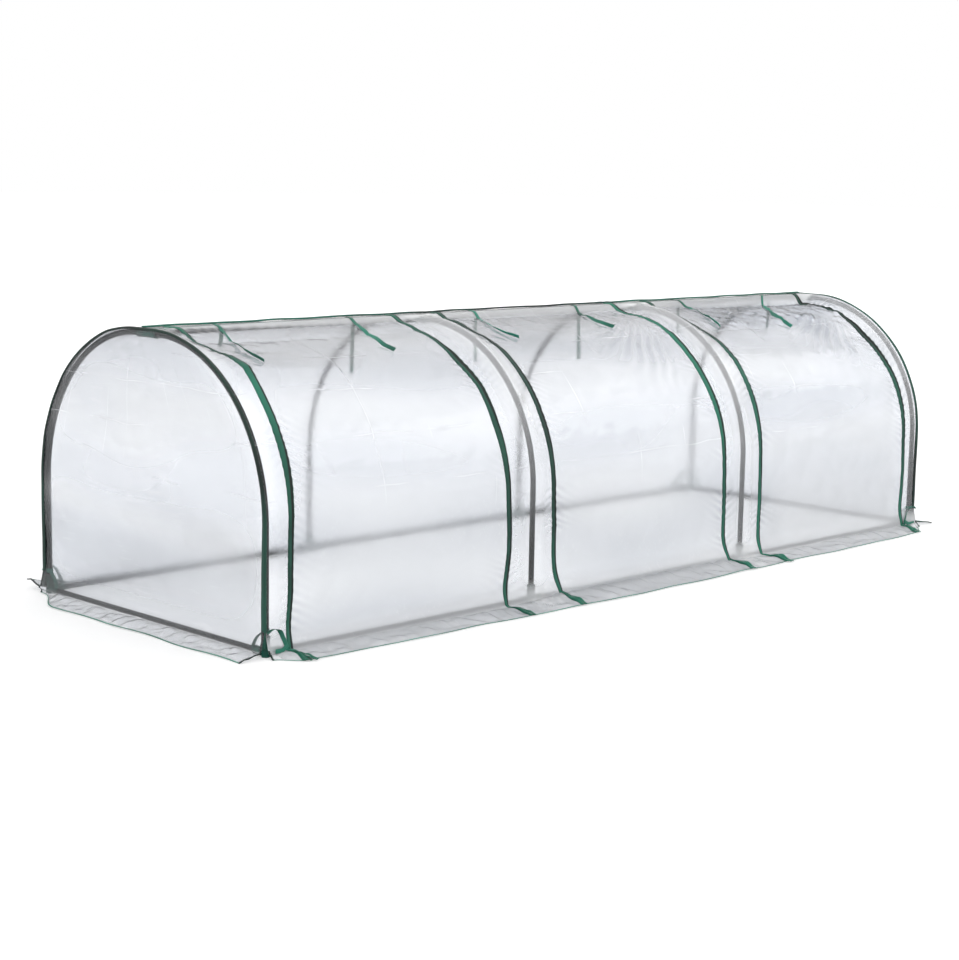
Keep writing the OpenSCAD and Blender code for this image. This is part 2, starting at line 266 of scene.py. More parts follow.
def rearPoint(x, s, h):
    # a place on the rear film: it sags between the hoops and is creased all over, and its corners curl up
    x, s, h = sameShape(x, s, h)
    out, up, sideways, upright = coverLine(s)
    clear = 1 - np.exp(-(s / 0.07) ** 2)
    onWall = 1 - smoothStep(wallEnd - 0.12, wallEnd, s)
    free = fromNearest(x, hoopX)
    bay = np.sin(math.pi * np.clip(free / tunnel["bay"], 0, 0.5))
    lift = h - rear["sag"] * bay * clear * onWall * np.exp(-((s - 0.4) / 0.34) ** 2)
    lift = lift + rear["crease"] * smoothStep(0.01, 0.09, free) * creases(110, x, s, 0.17) * clear * onWall
    lift = lift + skirtLift(x, s, 120, rear["crumple"])
    corner = smoothStep(bendEnd, skirtEnd, s) * (1 - smoothStep(0, 0.1, endX - np.abs(x)))
    lift = lift + rear["curl"] * corner
    wider = raggedHem(x, s, 130, rear["ragged"])
    return stacked(x, out + lift * sideways + wider, up + lift * upright)


ends = {"swell": 0.006, "crease": 0.0009, "crumple": 0.005, "ragged": 0.006,
        "cut": 0.7,               # share of its width that the left skirt loses at its rear corner
        "flare": (0.018, 0.014)}  # how far the right skirt turns out at its front corner, along X and Y


def endPoint(side, q, s, h):
    # a place on an end wall: q runs from -1 to 1 across it and s down its outline, then over the skirt;
    # the wall swells in and out in long level waves
    q, s, h = sameShape(q, s, h)
    cut = ends["cut"] * (1 - smoothStep(0, 0.2, wallOut * (1 - q))) * (side < 0)
    out, up, sideways, upright = coverLine(shortened(s, cut))
    onSkirt = s > wallEnd
    y = q * (np.minimum(out, wallOut) + filmT * np.where(onSkirt, 1, sideways))
    z = up + filmT * np.where(onSkirt, 0, upright)
    edge = (1 - np.abs(q) ** 8) * smoothStep(0.06, 0.16, s) * (1 - smoothStep(wallEnd - 0.12, wallEnd, s))
    seed = 150 if side < 0 else 170
    level = np.sin(2 * math.pi * (z + 0.05 * waves(seed, y, z, 0.5, 1.4, 4)) / 0.31 + 0.6)
    lift = h + edge * (ends["swell"] * level + ends["crease"] * creases(seed + 1, y, z, 0.17))
    lift = lift + skirtLift(y, s, seed + 3, ends["crumple"])
    x = endX + np.where(onSkirt, out - wallOut + lift * sideways, lift)
    x = x + raggedHem(y, s, seed + 5, ends["ragged"])
    loose = (smoothStep(bendEnd - 0.01, skirtEnd, s) * (1 - smoothStep(0, 0.12, wallOut * (1 + q)))
             * (side > 0))
    return stacked(side * (x + ends["flare"][0] * loose), y - ends["flare"][1] * loose,
                   z + np.where(onSkirt, lift * upright, 0))


def endSurface(side):
    # one end wall as a surface of the same three values as the front and the rear
    return lambda q, s, h: endPoint(side, q, s, h)


def clouds(seed, a, b, shortest, longest):
    return np.clip(0.5 + 0.42 * waves(seed, a, b, shortest, longest, 6), 0, 1)


# The look of the film, laid on its points: how milky it is, with painted highlights and glare in the
# same value, how grey, how much it shows fold lines as painted glints, and how hazy. These are the
# strengths on the front.
frontTone = {
    # the cloud strength is for painted highlights
    "milkAndGlare": 0.015, "cloudHighlight": 0.2,
    "hoopHigh": (0.30, 0.34, 0.30), "hoopLow": (0.0, 0.10, 0.05),  # glare over hoops 2 to 4, high and low
    # right: a painted sheen; ridge: painted glare; pucker: painted light and painted shade on the puckers
    "footMilk": 0.42, "skirtMilk": 0.30, "rightSheen": 0.28, "ridgeGlare": 0.5, "puckerLight": 0.15,
    "grey": 0.03, "dull": 0.26, "groundGrey": 0.06, "roofGrey": 0.04, "rightGrey": 0.42, "puckerShade": 0.4,
}


def frontLook(x, s):
    # painted highlights as white clouds in faintly grey film, painted glare over the hoops and the ridge
    # tube, clear at the left corner, milky at the ground, a painted sheen low on the right, grey near the
    # ridge, painted shade and light on the puckers; fold lines, as painted glints, most near the ridge, zips
    # and ground
    tone = frontTone
    x, s = sameShape(x, s)
    fromHoop = fromNearest(x, hoopX)
    offHoop = smoothStep(0.06, 0.14, fromHoop)
    # painted highlights: white clouds off the hoops, strongest about 0.7 m down from the ridge
    cloud = clouds(300, x, 1.7 * s, 0.25, 0.75)
    milkAndGlare = tone["milkAndGlare"] + tone["cloudHighlight"] * offHoop * cloud * np.exp(-((s - 0.7) / 0.3) ** 2)
    milkAndGlare = milkAndGlare * (1 - 0.9 * smoothStep(1.33, 1.40, -x))
    # painted glare over hoops 2 to 4
    for hoop, high, low in zip(hoopX[1:], tone["hoopHigh"], tone["hoopLow"]):
        milkAndGlare = milkAndGlare + np.exp(-((x - hoop) / 0.07) ** 4) * (high + (low - high) * smoothStep(0.3, 1.0, s))
    ground = smoothStep(wallEnd - 0.06, wallEnd - 0.01, s)
    onSkirt = smoothStep(bendEnd, bendEnd + 0.02, s)
    milkAndGlare = milkAndGlare + ground * (tone["footMilk"] + (tone["skirtMilk"] - tone["footMilk"]) * onSkirt)
    # a painted sheen low on the right doors
    lowDown = smoothStep(0.78, 0.95, s) * (1 - ground) * offHoop
    milkAndGlare = milkAndGlare + tone["rightSheen"] * lowDown * smoothStep(0.2, 0.8, x)
    # painted glare over the ridge tube
    milkAndGlare = milkAndGlare + tone["ridgeGlare"] * (1 - smoothStep(0.03, 0.055, np.abs(s)))
    roof = 1 - smoothStep(0.16, 0.34, s + 0.07 * waves(301, x, s, 0.2, 0.6, 5))
    # painted shade on one side of each pucker and fan fold, painted light on the other
    pucker = (puckers(x, s) + 0.7 * fans(x, s)) * (1 - ground)
    right = smoothStep(0.6, 0.75, x)
    # greyer where the painted highlight clouds are not
    dull = (1 - cloud) * (1 - 0.7 * roof) * (1 - 0.9 * right * smoothStep(0.55, 0.8, s))
    grey = tone["grey"] + tone["dull"] * dull + tone["groundGrey"] * ground
    grey = grey + roof * (tone["roofGrey"] + tone["rightGrey"] * right)
    grey = grey + tone["puckerShade"] * np.clip(pucker, 0, 1)
    milkAndGlare = milkAndGlare + tone["puckerLight"] * np.clip(-pucker, 0, 1)
    # where fold lines clear the grey tint, as painted glints
    glintFolds = 0.25 + 0.6 * roof + 0.5 * np.exp(-fromNearest(x, zipX) / 0.06) + 0.5 * ground
    haze = (1 - 0.8 * np.exp(-(fromHoop / 0.035) ** 4)) * (1 + 0.5 * smoothStep(0.7, 0.85, s))
    return stacked(milkAndGlare, np.clip(grey, 0, 1), np.clip(glintFolds, 0, 1), haze)


def rearLook(x, s):
    # a faint cloud all over, duller on the ground
    x, s = sameShape(x, s)
    ground = smoothStep(wallEnd - 0.02, bendEnd, s)
    cloud = clouds(320, x, 1.4 * s, 0.3, 0.9)
    milkAndGlare = 0.015 + 0.05 * cloud + 0.15 * ground
    grey = 0.02 + 0.06 * (1 - cloud) + 0.4 * ground
    return stacked(milkAndGlare, grey, 0.2 + 0.6 * ground, np.ones(x.shape))


def endLook(side, q, s):
    # two level white bands at half and quarter height, painted highlights with grey between them; clear by
    # the seam, grey near the top and the ground
    q, s = sameShape(q, s)
    out, z, _, _ = coverLine(s)
    y = q * np.minimum(out, wallOut)
    drift = 0.04 * waves(310 + side, y, z, 0.4, 1.1, 5)
    # painted highlights: two level white bands
    bands = np.exp(-((z - 0.56 - drift) / 0.085) ** 2) + 0.85 * np.exp(-((z - 0.275 - drift) / 0.05) ** 2)
    white = np.clip(bands * (0.4 + clouds(312 + side, y, 2 * z, 0.3, 0.9)), 0, 1)
    ground = smoothStep(wallEnd - 0.01, bendEnd, s)
    milkAndGlare = 0.012 + 0.2 * white * (1 - np.abs(q) ** 6) + 0.13 * ground
    # grey between the painted highlight bands
    grey = 0.02 + 0.2 * (1 - white) + 0.04 * smoothStep(0.6, 0.78, z) + 0.1 * ground
    haze = (1 - 0.9 * np.abs(q) ** 12) * (1 - 0.9 * ground) * (1 + 0.8 * np.exp(-((z - 0.2) / 0.1) ** 2))
    return stacked(milkAndGlare, grey, 0.4 + 0.5 * ground, haze)


def gridFaces(rows, columns, closed):
    r, c = np.meshgrid(np.arange(rows - 1), np.arange(columns if closed else columns - 1), indexing="ij")
    r, c, n = r.ravel(), c.ravel(), (c.ravel() + 1) % columns
    return np.stack([r * columns + c, r * columns + n, (r + 1) * columns + n, (r + 1) * columns + c],
                    axis=1)


def addPiece(name, grids, material, closed=False, look=None, fadeAndShade=None):
    # each grid is rows x columns of points, with the same of UV; a closed grid is a band whose section
    # joins up and whose two ends are capped
    points, uvs, faces, start = [], [], [], 0
    for place, uv in grids:
        rows, columns = place.shape[:2]
        faces += (gridFaces(rows, columns, closed) + start).tolist()
        if closed:
            last = start + (rows - 1) * columns
            faces += [list(range(start, start + columns)), list(range(last, last + columns))]
        points.append(place.reshape(-1, 3))
        uvs.append(uv.reshape(-1, 2))
        start += rows * columns
    mesh = bpy.data.meshes.new(name)
    mesh.from_pydata(np.concatenate(points).tolist(), [], faces)
    corner = np.zeros(len(mesh.loops), np.int32)
    mesh.loops.foreach_get("vertex_index", corner)
    layer = mesh.uv_layers.new(name="UVMap")
    layer.data.foreach_set("uv", np.concatenate(uvs)[corner].astype(np.float32).ravel())
    work = bmesh.new()
    work.from_mesh(mesh)
    if closed:
        bmesh.ops.recalc_face_normals(work, faces=work.faces)
    else:  # an open sheet faces away from the middle of the tunnel
        facing = sum(f.normal.dot(f.calc_center_median() - tunnelMiddle) * f.calc_area() for f in work.faces)
        if facing < 0:
            bmesh.ops.reverse_faces(work, faces=work.faces)
    work.to_mesh(mesh)
    work.free()
    if look is not None:
        tone = mesh.attributes.new("filmLook", "FLOAT_COLOR", "POINT")
        tone.data.foreach_set("color", look.astype(np.float32).ravel())
    # painted light and shade for a tape
    if fadeAndShade is not None:  # one value for each row of each grid
        rows = [np.repeat(f, place.shape[1]) for f, (place, _) in zip(fadeAndShade, grids)]
        tone = mesh.attributes.new("tapeFade", "FLOAT", "POINT")
        tone.data.foreach_set("value", np.concatenate(rows).astype(np.float32))
    mesh.polygons.foreach_set("use_smooth", np.ones(len(mesh.polygons), bool))
    mesh.materials.append(material)
    piece = bpy.data.objects.new(name, mesh)
    bpy.context.scene.collection.objects.link(piece)
    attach(piece, "root")
    return piece


def tapeSection(width, thick, count=16):
    # a flat oval with round edges: distance across and height above what it lies on, round the tape
    a = np.linspace(0, 2 * math.pi, count, endpoint=False)
    square = (np.abs(np.cos(a)) ** 4 + np.abs(np.sin(a)) ** 4) ** -0.25
    return width / 2 * np.cos(a) * square, thick / 2 * (1 + np.sin(a) * square)


def sectionUv(across, along):
    # U is the distance across the tape and V the distance along it, both in metres
    return stacked(across[None, :], along[:, None])


def rounded(low, high, count):
    # places between two ends, closer together near both of them
    t = np.linspace(0, 1, count)
    return low + (high - low) * (0.6 * t + 0.4 * (1 - np.cos(math.pi * t)) / 2)


def hexColour(code):
    # an sRGB hex colour as linear light
    c = np.array([int(code[i:i + 2], 16) for i in (1, 3, 5)]) / 255
    return (*np.where(c <= 0.04045, c / 12.92, ((c + 0.055) / 1.055) ** 2.4), 1.0)


def addNode(tree, kind, inputs=None, **settings):
    # one node with its settings; an input is a value, a hex colour, the socket that feeds it, or a node
    # whose first output in use feeds it
    made = tree.nodes.new("ShaderNode" + kind)
    for name, value in settings.items():
        setattr(made, name, value)
    for name, value in (inputs or {}).items():
        if isinstance(value, str):
            value = hexColour(value)
        elif isinstance(value, bpy.types.Node):
            value = next(socket for socket in value.outputs if socket.enabled)
        if isinstance(value, bpy.types.NodeSocket):
            tree.links.new(value, made.inputs[name])
        else:
            made.inputs[name].default_value = value
    return made


def nodeAdder(owner):
    # empties the nodes of a material or a world, and gives what adds a node there
    owner.use_nodes = True
    owner.node_tree.nodes.clear()
    return functools.partial(addNode, owner.node_tree)


def newMaterial(name):
    material = bpy.data.materials.new(name)
    return material, nodeAdder(material)


def filmMaterial(name, look):
    # calendered clear PVC: what touches it shows sharp and dark, what stands further off is blurred and
    # pale, with milky bands that also hold painted highlights and glare, thin clear fold lines where it is
    # grey as painted glints, and faint white folds from packing
    material, add = newMaterial(name)
    laid = add("Attribute", attribute_name="filmLook").outputs
    parts = add("SeparateXYZ", {"Vector": laid["Color"]}).outputs
    coord = add("TexCoord").outputs
    # fold lines about 4 mm wide and 100 mm long, in patches; where the film is grey they clear it, as
    # painted glints
    linePlace = add("Mapping", {"Vector": coord["Object"], "Rotation": (0.4, 0.9, 0.7),
                                "Scale": (70, 9, 70)})
    lines = add("TexNoise", {"Vector": linePlace, "Scale": 1.0, "Detail": 2.0, "Distortion": 0.4})
    thin = add("MapRange", {"Value": lines, "From Min": 0.58, "From Max": 0.66})
    patch = add("TexNoise", {"Vector": coord["Object"], "Scale": 6.0, "Detail": 1.0})
    some = add("MapRange", {"Value": patch, "From Min": 0.44, "From Max": 0.58})
    here = add("Math", {0: some, 1: parts["Z"]}, operation="MULTIPLY")
    soft = add("Math", {0: thin, 1: here}, operation="MULTIPLY")
    # packing folds: nearly straight lines about 3 mm wide, 210 mm apart along the tunnel, half that across
    # an end wall, and 145 mm apart down the film; in patches, and only on the roof and the upper wall
    flatPlace = add("SeparateXYZ", {"Vector": coord["UV"]}).outputs
    packing = []
    for axis, apart in (("X", 0.21), ("Y", 0.145)):
        bent = add("Math", {0: patch, 1: 0.03, 2: flatPlace[axis]}, operation="MULTIPLY_ADD")
        off = add("Math", {0: bent, 1: apart / 2}, operation="PINGPONG")
        packing.append(add("MapRange", {"Value": off, "From Min": 0.0026, "From Max": 0.0006}))
    anyFold = add("Math", {0: packing[0], 1: packing[1]}, operation="MAXIMUM")
    stretch = add("TexNoise", {"Vector": coord["Object"], "Scale": 4.3, "Detail": 2.0})
    kept = add("MapRange", {"Value": stretch, "From Min": 0.50, "From Max": 0.62, "To Max": look["packed"]})
    wall = add("MapRange", {"Value": flatPlace["Y"], "From Min": 0.82, "From Max": 0.68})
    onWall = add("Math", {0: kept, 1: wall}, operation="MULTIPLY")
    pressed = add("Math", {0: anyFold, 1: onWall}, operation="MULTIPLY")
    folded = add("Math", {0: soft, 1: pressed}, operation="MAXIMUM")
    # the milky share, which holds the painted highlights and glare laid on the points as well
    milkAndGlare = add("Math", {0: pressed, 1: 0.4, 2: parts["X"]}, operation="MULTIPLY_ADD", use_clamp=True)
    passing = add("Math", {0: 1.0, 1: milkAndGlare}, operation="SUBTRACT", use_clamp=True)
    # the grey tint, cleared along the fold lines as painted glints
    flat = add("Math", {0: 1.0, 1: folded}, operation="SUBTRACT", use_clamp=True)
    dullHere = add("Math", {0: parts["Y"], 1: flat}, operation="MULTIPLY")
    dull = add("Mix", {"Factor": dullHere, "A": look["clearColour"], "B": look["greyColour"]},
               data_type="RGBA")
    colour = add("Mix", {"Factor": milkAndGlare, "A": dull, "B": look["milkyColour"]}, data_type="RGBA")
    # wrinkles about 14 mm apart, drawn out along the tunnel
    finePlace = add("Mapping", {"Vector": coord["Object"], "Scale": (30, 70, 70)})
    fine = add("TexNoise", {"Vector": finePlace, "Scale": 1.0, "Detail": 4.0, "Roughness": 0.6,
                            "Distortion": 1.2})
    height = add("Math", {0: folded, 1: look["fold"], 2: fine}, operation="MULTIPLY_ADD")
    bump = add("Bump", {"Height": height, "Strength": look["wrinkle"], "Distance": 0.004})
    body = add("BsdfPrincipled", {"Base Color": colour, "Roughness": look["frost"], "IOR": look["ior"],
                                  "Transmission Weight": passing, "Normal": bump})
    # haze in the film: it spreads a share of the light widely, which veils what stands further off
    spread = add("BsdfGlass", {"Color": colour, "Roughness": look["spread"], "IOR": look["ior"],
                               "Normal": bump}, distribution="MULTI_GGX")
    share = add("Math", {0: laid["Alpha"], 1: look["haze"]}, operation="MULTIPLY")
    hazy = add("MixShader", {0: share, 1: body, 2: spread})
    # lamps shine through the film
    path = add("LightPath").outputs
    clear = add("BsdfTransparent", {"Color": look["shadowColour"]})
    mix = add("MixShader", {0: path["Is Shadow Ray"], 1: hazy, 2: clear})
    add("OutputMaterial", {"Surface": mix})
    return material


def tapeMaterial(name, look):
    # woven polyester tape, dyed in the yarn: a fine rib across it, faded patches, painted light and shade
    # along it, and on a zip a dark line that is its coil with painted shade beside it
    material, add = newMaterial(name)
    coord = add("TexCoord").outputs
    split = add("SeparateXYZ", {"Vector": coord["UV"]}).outputs
    # ribs 2.4 mm apart, three times the real thread spacing so that they show
    rib = add("Math", {0: split["Y"], 1: 2 * math.pi / 0.0024}, operation="MULTIPLY")
    ribWave = add("Math", {0: rib}, operation="SINE")
    # faded patches at random
    fadeAndShade = add("TexNoise", {"Vector": coord["Object"], "Scale": look["patch"], "Detail": 3.0})
    worn = add("MapRange", {"Value": fadeAndShade, "From Min": 0.35, "From Max": 0.7})
    # painted light and shade laid along the tape, one value for each row
    paintedLight = add("Attribute", attribute_name="tapeFade").outputs
    bright = add("Math", {0: worn, 1: look["mottle"], 2: paintedLight["Fac"]}, operation="MULTIPLY_ADD",
                 use_clamp=True)
    dyedAndLit = add("Mix", {"Factor": bright, "A": look["dark"], "B": look["light"]}, data_type="RGBA")
    # the dark line: the coil's own dark colour with painted shade beside it; it wanders a little off the coil
    across = add("Math", {0: split["X"]}, operation="ABSOLUTE")
    middle = add("MapRange", {"Value": across, "From Min": look["lineAt"] + 0.0012,
                              "From Max": look["lineAt"] - 0.0012})
    inLine = add("Math", {0: middle, 1: look["line"]}, operation="MULTIPLY")
    colour = add("Mix", {"Factor": inLine, "A": dyedAndLit, "B": look["coilAndShadeColour"]}, data_type="RGBA")
    bump = add("Bump", {"Height": ribWave, "Strength": 0.35, "Distance": 0.0006})
    body = add("BsdfPrincipled", {"Base Color": colour, "Roughness": 0.6, "IOR": 1.52, "Sheen Weight": 0.1,
                                  "Normal": bump})
    add("OutputMaterial", {"Surface": body})
    return material


def coatedMaterial(name, look):
    # a smooth coat over steel, or a moulded polymer: near-black or dark green, with an even sheen and a
    # faint orange peel
    material, add = newMaterial(name)
    coord = add("TexCoord").outputs
    cloud = add("TexNoise", {"Vector": coord["Object"], "Scale": 9.0, "Detail": 4.0})
    tone = add("MapRange", {"Value": cloud, "From Min": 0.35, "From Max": 0.68})
    colour = add("Mix", {"Factor": tone, "A": look["dark"], "B": look["light"]}, data_type="RGBA")
    peel = add("TexNoise", {"Vector": coord["Object"], "Scale": 1 / look["grain"], "Detail": 2.0})
    bump = add("Bump", {"Height": peel, "Strength": 0.25, "Distance": 0.0004})
    gloss = add("MapRange", {"Value": cloud, "To Min": look["rough"] - 0.08, "To Max": look["rough"] + 0.1})
    body = add("BsdfPrincipled", {"Base Color": colour, "Roughness": gloss, "IOR": 1.5,
                                  "Specular IOR Level": look["gloss"], "Normal": bump})
    add("OutputMaterial", {"Surface": body})
    return material


filmLook = {"clearColour": "#fbfcfe", "greyColour": "#b9bec6", "milkyColour": "#fcfdfe",
            "shadowColour": "#dfe2e5", "frost": 0.05, "ior": 1.54, "haze": 0.22, "spread": 0.45,
            "wrinkle": 0.035, "fold": 3.5, "packed": 0.45}
filmPvc = filmMaterial("pvcFilmCalendered", filmLook)
stripPvc = filmMaterial("pvcFilmOverHoops", {**filmLook, "haze": 0.16, "wrinkle": 0.04})
plainTape = {"patch": 5.0, "mottle": 1.0, "lineAt": 0.0055, "line": 0.0, "coilAndShadeColour": "#0d2a22"}
tapeGreen = tapeMaterial("polyesterTapeWoven", {**plainTape, "dark": "#14503f", "light": "#2d947c"})
bindGreen = tapeMaterial("polyesterTapeBinding", {**plainTape, "dark": "#050f0c", "light": "#1b6b58",
                                                  "mottle": 0.3})
hemGreen = tapeMaterial("polyesterTapeHem", {**plainTape, "dark": "#22775f", "light": "#4fa28a"})
zipGreen = tapeMaterial("polyesterZipTape", {
    "dark": "#06201a", "light": "#1d7c63", "patch": 9.0, "mottle": 0.25, "lineAt": 0.0034, "line": 0.95,
    "coilAndShadeColour": "#07110e"})
tubeCoat = coatedMaterial("steelTubePlasticCoated", {
    "dark": "#0b1211", "light": "#18211f", "grain": 0.0025, "rough": 0.34, "gloss": 0.3})
plugPlastic = coatedMaterial("polypropyleneMoulded", {
    "dark": "#0b3f34", "light": "#186858", "grain": 0.0018, "rough": 0.45, "gloss": 0.5})
for name, node in nodes.items():
    words = name.split("_")
    if words[0] == "hoop" or "tube" in words or "rail" in words:
        node.data.materials.clear()
        node.data.materials.append(tubeCoat)
    elif words[-1] in ("corner", "tee") or words[0] == "ridge" and words[1] in ("tee", "cross"):
        node.data.materials.clear()
        node.data.materials.append(plugPlastic)
print("materials made")

# the sheets of film
sheetUse = {"rowGap": 0.0045, "doorColumns": 88, "stripGap": 0.004, "rearGap": 0.009, "endColumns": 121,
            "endGap": 0.0063}
zipGap = 0.002     # half of the slit that a zip closes
hemGap = 0.008     # from the middle of a zip to the hem beside it
filmSkin = 0.0003  # thickness of the film as it is seen
middleH = filmT / 2
filmLine = np.append(np.arange(-tunnel["seamBack"], skirtEnd, sheetUse["rowGap"]), skirtEnd)
stripEdges = [-endX, *zipX, endX]


def doorSpan(i, gap):
    # the two sides of a door, drawn in by a gap
    return zipX[2 * i] + gap, zipX[2 * i + 1] - gap


def stripSpan(i, gap):
    # the two sides of a strip, drawn in by a gap where there is a zip
    return stripEdges[2 * i] + (gap if i else 0), stripEdges[2 * i + 1] - (gap if i < 3 else 0)


def frontSheet(name, span, columns, material, node):
    x = rounded(*span, columns)[None, :]
    s = filmLine[:, None]
    grid = (frontPoint(x, s, middleH), stacked(x, s))
    piece = addPiece(name, [grid], material, look=frontLook(x, s))
    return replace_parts(piece, node)


doorFilms, stripFilms = [], []
for i in range(3):
    doorFilms.append(frontSheet(f"door_{i + 1}_film", doorSpan(i, zipGap), sheetUse["doorColumns"], filmPvc,
                                f"door_{i + 1}"))
for i in range(4):
    left, right = stripSpan(i, zipGap)
    columns = int((right - left) / sheetUse["stripGap"]) + 2
    stripFilms.append(frontSheet(f"front_strip_{i + 1}_film", (left, right), columns, stripPvc,
                                 f"front_strip_{i + 1}"))
x = np.append(np.arange(-endX, endX, sheetUse["rearGap"]), endX)[None, :]
s = np.append(np.arange(tunnel["seamBack"], skirtEnd, sheetUse["rearGap"]), skirtEnd)[:, None]
rearFilm = addPiece("rear_film", [(rearPoint(x, s, middleH), stacked(x, s))], filmPvc,
                    look=rearLook(x, s))
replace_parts(rearFilm, "rear_cover")
sides = ((-1, "left"), (1, "right"))
endFilms = {}
for side, word in sides:
    q = np.linspace(-1, 1, sheetUse["endColumns"])[None, :]
    s = np.append(np.arange(tunnel["crown"], skirtEnd, sheetUse["endGap"]), skirtEnd)[:, None]
    endFilms[word] = addPiece(f"{word}_end_film", [(endPoint(side, q, s, middleH), stacked(q, s))], filmPvc,
                              look=endLook(side, q, s))
    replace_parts(endFilms[word], f"{word}_end_wall")
print("film sheets made")

zips = {"width": 0.0195, "edge": 0.0028, "coil": 0.0030, "coilHalf": 0.0026, "coilAt": 0.005, "over": 0.002,
        # how wide the tapes lie, at distances from the ridge
        "wideAt": (-0.02, 0.06, 0.10, 0.25, 0.32, 0.60, 0.75, 1.06, 1.12, 1.20),
        "wide": (1.1, 1.05, 0.8, 0.8, 1.3, 1.3, 1.0, 0.95, 1.2, 1.5),
        # painted light and shade on each zip: how bright it is, at distances from the ridge
        "shadeAt": (0.0, 0.08, 0.25, 0.40, 0.60, 0.90, 1.12),
        "fadeAndShade": ((1.0, 0.5, 0.05, 0.9, 0.4, 0.1, 0.7),
                 (0.6, 0.3, 0.15, 0.3, 0.3, 0.1, 0.6),
                 (0.3, 0.1, 0.0, 0.1, 0.1, 0.05, 0.7),
                 (0.8, 0.9, 0.9, 0.9, 0.8, 0.35, 0.8),
                 (0.5, 0.1, 0.0, 0.4, 0.6, 0.5, 0.9),
                 (0.3, 0.1, 0.0, 0.1, 0.35, 0.25, 0.9)),
        "narrow": (1.0, 0.45, 0.45, 0.45, 0.45, 0.5),  # share of the full width that lies on the ground
        "reach": (0.016, 0.002, 0.004, 0.010, 0.018, 0.008),  # how far each zip lies past the skirt
        # the loose ends of a zip: how far aside each lies, and how much further it reaches
        "tails": ((-0.010, -0.008), (0.001, 0.0), (0.011, 0.002), (0.020, -0.004)),
        "tailWidth": 0.007, "tailThick": 0.0014, "tailBack": 0.05}


def zipSection(count=17):
    # across a zip: two flat bound tapes with a round coil standing up between them, and a flat underside
    a = np.linspace(-zips["width"] / 2, zips["width"] / 2, count)
    tape = zips["edge"] * (1 - (np.abs(a) / (zips["width"] / 2)) ** 6)
    coil = zips["coil"] * np.sqrt(np.clip(1 - ((a - zips["coilAt"]) / zips["coilHalf"]) ** 2, 0, 1))
    return np.concatenate([a, a[::-1][1:-1]]), np.concatenate([np.maximum(tape, coil), 0 * a[1:-1]])


zipA, zipH = zipSection()
tailA, tailH = tapeSection(zips["tailWidth"], zips["tailThick"], 12)
for i in range(3):
    grids, litShades = [], []
    for k in (2 * i, 2 * i + 1):
        s = np.append(np.arange(-0.017, skirtEnd + zips["over"], 0.006), skirtEnd + zips["over"])
        narrow = 1 + (zips["narrow"][k] - 1) * smoothStep(wallEnd - 0.05, wallEnd + 0.02, s)
        wide = np.interp(s, zips["wideAt"], zips["wide"]) * narrow
        place = frontPoint(zipX[k] + zipA[None, :] * wide[:, None], s[:, None], filmT + zipH[None, :])
        # where the painted coil line lies, wandering a little off the coil
        wander = zips["coilAt"] + 0.0018 * waves(220 + k, s, 0 * s, 0.15, 0.5, 4)
        grids.append((place, stacked(zipA[None, :] - wander[:, None], s[:, None])))
        # painted light and shade along the zip
        litShades.append(np.interp(s, zips["shadeAt"], zips["fadeAndShade"][k]))
        for aside, more in zips["tails"]:
            t = np.linspace(0, 1, 26)
            s = skirtEnd - zips["tailBack"] + t * (zips["tailBack"] + zips["reach"][k] + more)
            splay = zips["narrow"][k] * (0.4 + 0.9 * t * t)
            x = zipX[k] + aside * splay + 0.002 * np.sin(5 * t + 300 * aside)
            high = 0.0018 + 0.004 * np.sin(math.pi * t) * (0.4 + abs(aside) * 40)
            high = filmT + high[:, None] + tailH[None, :]
            place = frontPoint(x[:, None] + tailA[None, :], s[:, None], high)
            grids.append((place, sectionUv(tailA + 0.02, s)))
            # painted light and shade on the tails, darker where they start
            litShades.append(np.interp(s, zips["shadeAt"], zips["fadeAndShade"][k]) - 0.25 * (t < 0.3))
    piece = addPiece(f"door_{i + 1}_zip_tapes", grids, zipGreen, closed=True, fadeAndShade=litShades)
    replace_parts(piece, f"door_{i + 1}_zips")
print("zips made")

# bindings and hems
binding = {"width": 0.014, "thick": 0.0018, "ridge": 0.0050,
           # legs of the end tapes on the roof, in front of the ridge and behind it
           "roof": {"left": (0.004, 0.014), "right": (0.010, 0.004)},
           "wallHigh": 0.004, "wallLow": 0.013,  # the leg on the wall, over the arch and at the ground
           # painted light and shade on the tapes, how bright they are: along an end tape from the front to
           # the rear, and along the ridge
           "shadeAt": (-1.1, -0.85, -0.65, -0.05, 0.05, 1.1),
           "fadeAndShade": {"left": (0.55, 0.4, 0.0, 0.0, 0.0, 0.1), "right": (0.0, 0.0, 0.3, 0.7, 0.5, 0.1)},
           "ridgeAt": (-1.48, -0.9, -0.6, -0.45, 0.1, 0.35, 0.5, 1.48),
           "ridgeLitShade": (0.9, 0.9, 0.5, 0.05, 0, 0.2, 0.9, 0.8),
           "hemFront": 0.0035, "hemEnd": 0.0045, "hemThick": 0.0014, "cutThick": 0.0035}
hemLow = filmT / 2 - binding["hemThick"] / 4  # where the underside of a hem lies


def ridgeTape():
    # a folded tape that stands a little over the top seam, with a slow ripple
    a, h = tapeSection(binding["width"], binding["ridge"])
    x = np.arange(-endX + 0.012, endX - 0.011, 0.006)
    ripple = np.clip(0.0009 * (1 + waves(200, x, 0 * x, 0.06, 0.35)), 0, None)
    s = -tunnel["seamBack"] + a[None, :] + 0.0012 * waves(201, x, 0 * x, 0.2, 0.6)[:, None]
    return frontPoint(x[:, None], s, filmT + ripple[:, None] + h[None, :]), sectionUv(a, x)


